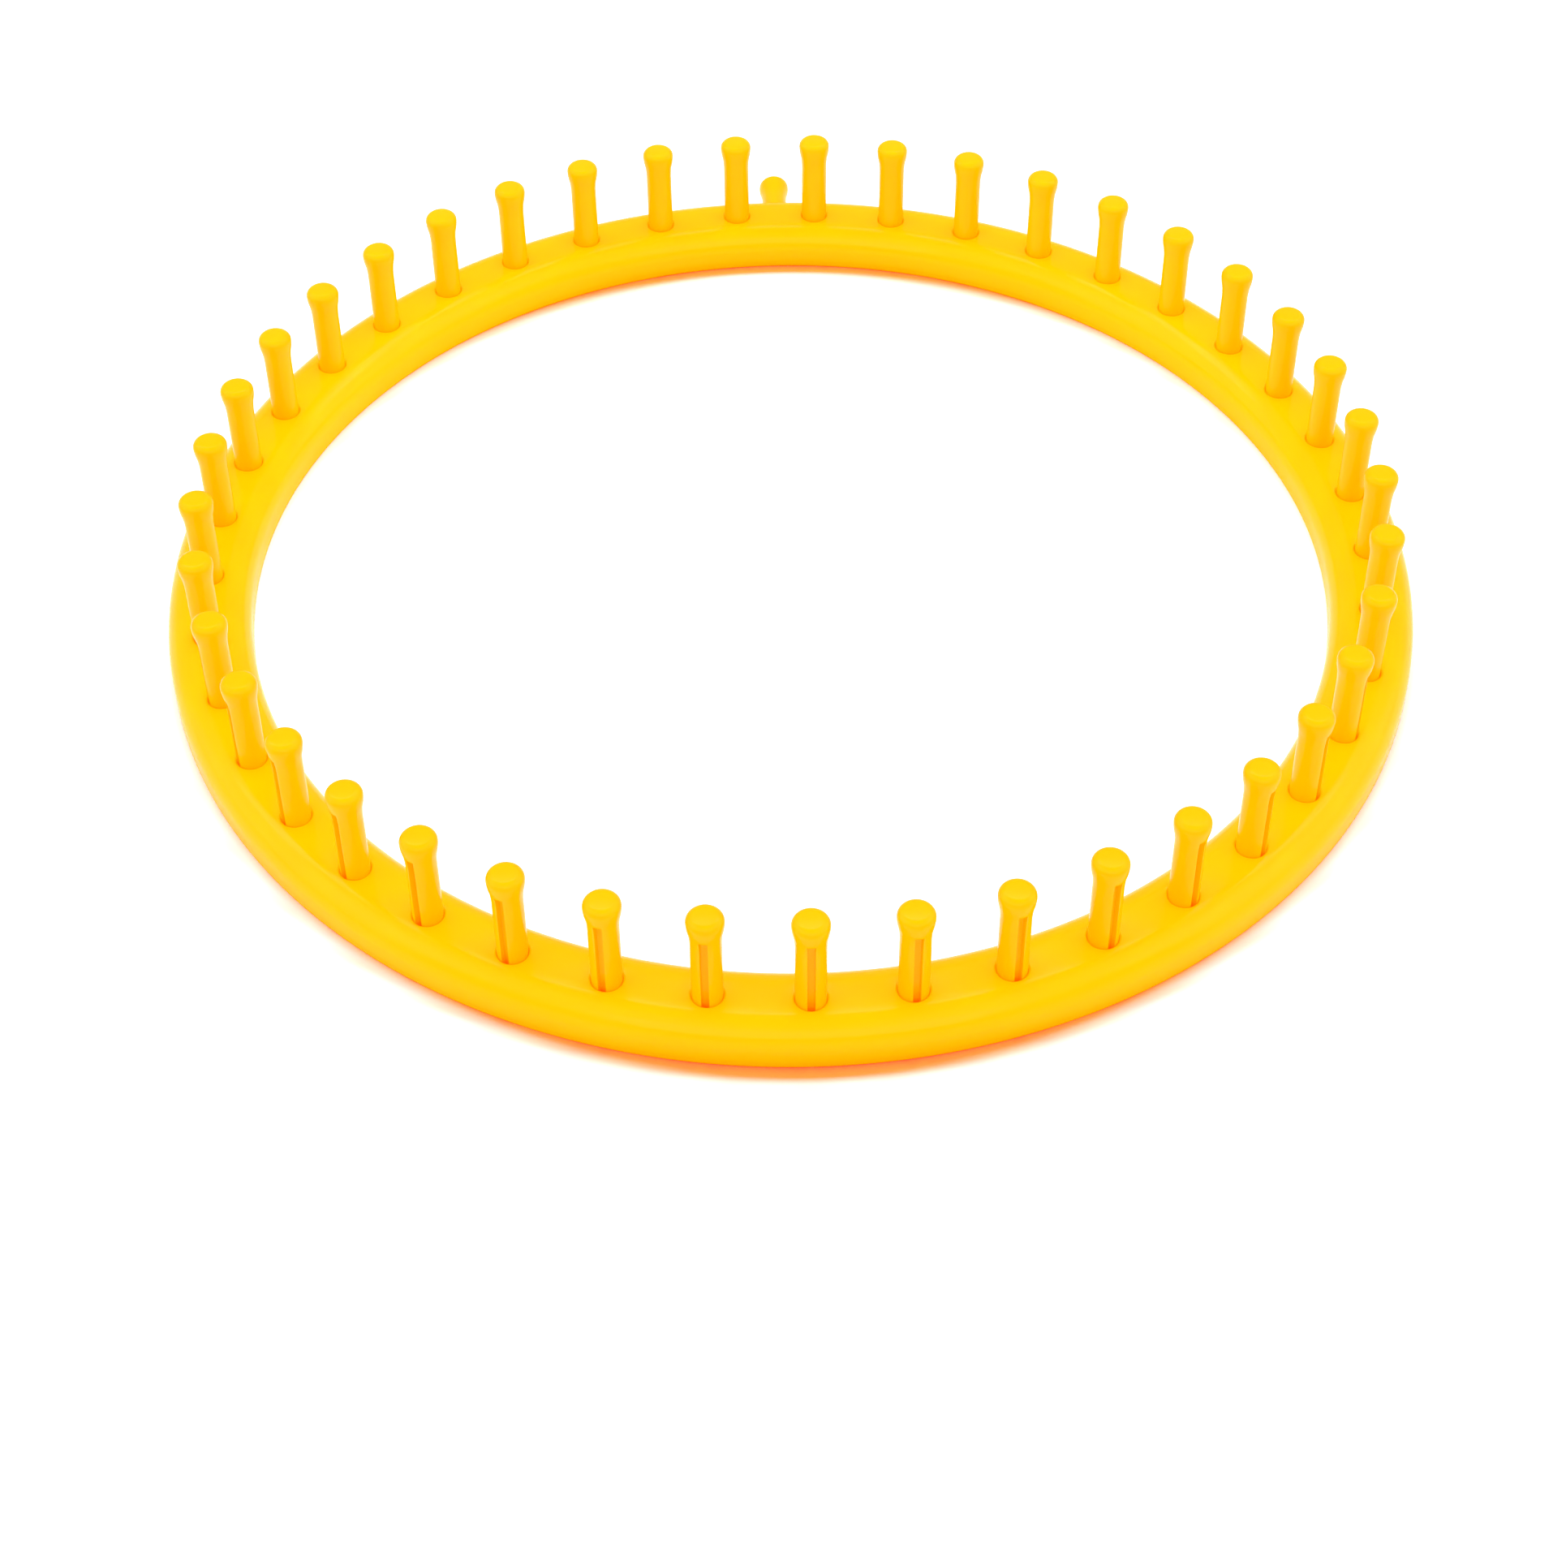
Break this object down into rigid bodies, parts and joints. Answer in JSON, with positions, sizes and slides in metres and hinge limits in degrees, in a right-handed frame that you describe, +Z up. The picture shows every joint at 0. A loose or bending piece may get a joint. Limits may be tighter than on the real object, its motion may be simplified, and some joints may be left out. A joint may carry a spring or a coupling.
{
  "type": "round knitting loom",
  "caption": "Round knitting loom: a moulded plastic ring with upright knobbed pegs for looping yarn and a side peg for anchoring the yarn's end.",
  "frame": {"origin": "on the ring's axis, level with the rim that rests on the table, at the lower end of the work opening", "axes": "+Z up along the ring's axis, towards the pegs' heads; +Y towards the anchor peg; the first peg stands at -Y"},
  "size_m": [0.29, 0.3016, 0.0339],
  "materials": {
    "loom_plastic": "glossy moulded yellow plastic"
  },
  "bodies": {
    "root": {"base_ring": "loom_plastic", "peg_01": "loom_plastic", "peg_02": "loom_plastic", "peg_03": "loom_plastic", "peg_04": "loom_plastic", "peg_05": "loom_plastic", "peg_06": "loom_plastic", "peg_07": "loom_plastic", "peg_08": "loom_plastic", "peg_09": "loom_plastic", "peg_10": "loom_plastic", "peg_11": "loom_plastic", "peg_12": "loom_plastic", "peg_13": "loom_plastic", "peg_14": "loom_plastic", "peg_15": "loom_plastic", "peg_16": "loom_plastic", "peg_17": "loom_plastic", "peg_18": "loom_plastic", "peg_19": "loom_plastic", "peg_20": "loom_plastic", "peg_21": "loom_plastic", "peg_22": "loom_plastic", "peg_23": "loom_plastic", "peg_24": "loom_plastic", "peg_25": "loom_plastic", "peg_26": "loom_plastic", "peg_27": "loom_plastic", "peg_28": "loom_plastic", "peg_29": "loom_plastic", "peg_30": "loom_plastic", "peg_31": "loom_plastic", "peg_32": "loom_plastic", "peg_33": "loom_plastic", "peg_34": "loom_plastic", "peg_35": "loom_plastic", "peg_36": "loom_plastic", "peg_37": "loom_plastic", "peg_38": "loom_plastic", "peg_39": "loom_plastic", "peg_40": "loom_plastic", "peg_41": "loom_plastic", "anchor_peg": "loom_plastic"}
  },
  "joints": []
}
